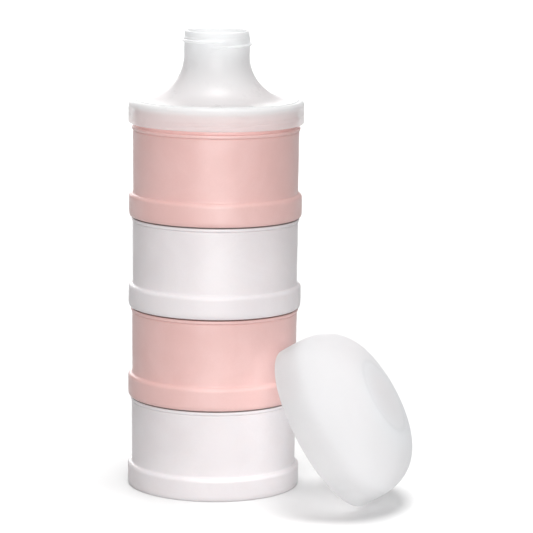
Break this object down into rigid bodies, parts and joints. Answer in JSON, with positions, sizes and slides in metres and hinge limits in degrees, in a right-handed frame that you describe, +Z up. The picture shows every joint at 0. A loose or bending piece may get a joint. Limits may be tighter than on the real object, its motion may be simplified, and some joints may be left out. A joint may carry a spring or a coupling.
{
  "type": "formula dispenser",
  "caption": "Stackable baby milk-powder dispenser: screw-together compartments in white and pink, a translucent funnel lid with a threaded spout, and a domed cap leaning beside it.",
  "frame": {"origin": "centre of the stack's foot, on the surface that it stands on", "axes": "+Z up along the stack's axis; -Y is the front; the cap leans at the front right"},
  "size_m": [0.1158, 0.1014, 0.1858],
  "materials": {
    "white_shell": "satin moulded polypropylene, faintly warm white",
    "pink_shell": "satin moulded polypropylene, pale pink",
    "frosted_lid": "translucent milky polypropylene, smooth",
    "frosted_cap": "translucent milky polypropylene, finely frosted",
    "silicone": "soft white silicone"
  },
  "bodies": {
    "base": {"base_cup": "white_shell"},
    "ring_1": {"seal_1": "silicone"},
    "cup_2": {"cup_2": "pink_shell"},
    "ring_2": {"seal_2": "silicone"},
    "cup_3": {"cup_3": "white_shell"},
    "ring_3": {"seal_3": "silicone"},
    "cup_4": {"cup_4": "pink_shell"},
    "ring_4": {"seal_4": "silicone"},
    "lid": {"funnel_lid": "frosted_lid"},
    "cap": {"dome_cap": "frosted_cap", "cap_socket": "frosted_cap"}
  },
  "joints": [
    {"name": "cup_2_lift", "type": "slide", "parent": "base", "child": "ring_1", "axis": [0, 0, 1], "range_m": [0, 0.0075]},
    {"name": "cup_2_turn", "type": "hinge", "parent": "ring_1", "child": "cup_2", "pos_m": [0, 0, 0.03695], "axis": [0, 0, 1], "range_deg": [0, 930]},
    {"name": "cup_3_lift", "type": "slide", "parent": "cup_2", "child": "ring_2", "axis": [0, 0, 1], "range_m": [0, 0.0075]},
    {"name": "cup_3_turn", "type": "hinge", "parent": "ring_2", "child": "cup_3", "pos_m": [0, 0, 0.0739], "axis": [0, 0, 1], "range_deg": [0, 930]},
    {"name": "cup_4_lift", "type": "slide", "parent": "cup_3", "child": "ring_3", "axis": [0, 0, 1], "range_m": [0, 0.0075]},
    {"name": "cup_4_turn", "type": "hinge", "parent": "ring_3", "child": "cup_4", "pos_m": [0, 0, 0.11085], "axis": [0, 0, 1], "range_deg": [0, 930]},
    {"name": "lid_lift", "type": "slide", "parent": "cup_4", "child": "ring_4", "axis": [0, 0, 1], "range_m": [0, 0.0075]},
    {"name": "lid_turn", "type": "hinge", "parent": "ring_4", "child": "lid", "pos_m": [0, 0, 0.1478], "axis": [0, 0, 1], "range_deg": [0, 930]},
    {"name": "cap_away", "type": "slide", "parent": "base", "child": "cap", "axis": [0.8272, -0.2247, 0.515], "range_m": [0, 0.15]}
  ],
  "couplings": [
    {"joint": "cup_2_turn", "follows": "cup_2_lift", "rad_per_m": 2094.4},
    {"joint": "cup_3_turn", "follows": "cup_3_lift", "rad_per_m": 2094.4},
    {"joint": "cup_4_turn", "follows": "cup_4_lift", "rad_per_m": 2094.4},
    {"joint": "lid_turn", "follows": "lid_lift", "rad_per_m": 2094.4}
  ]
}
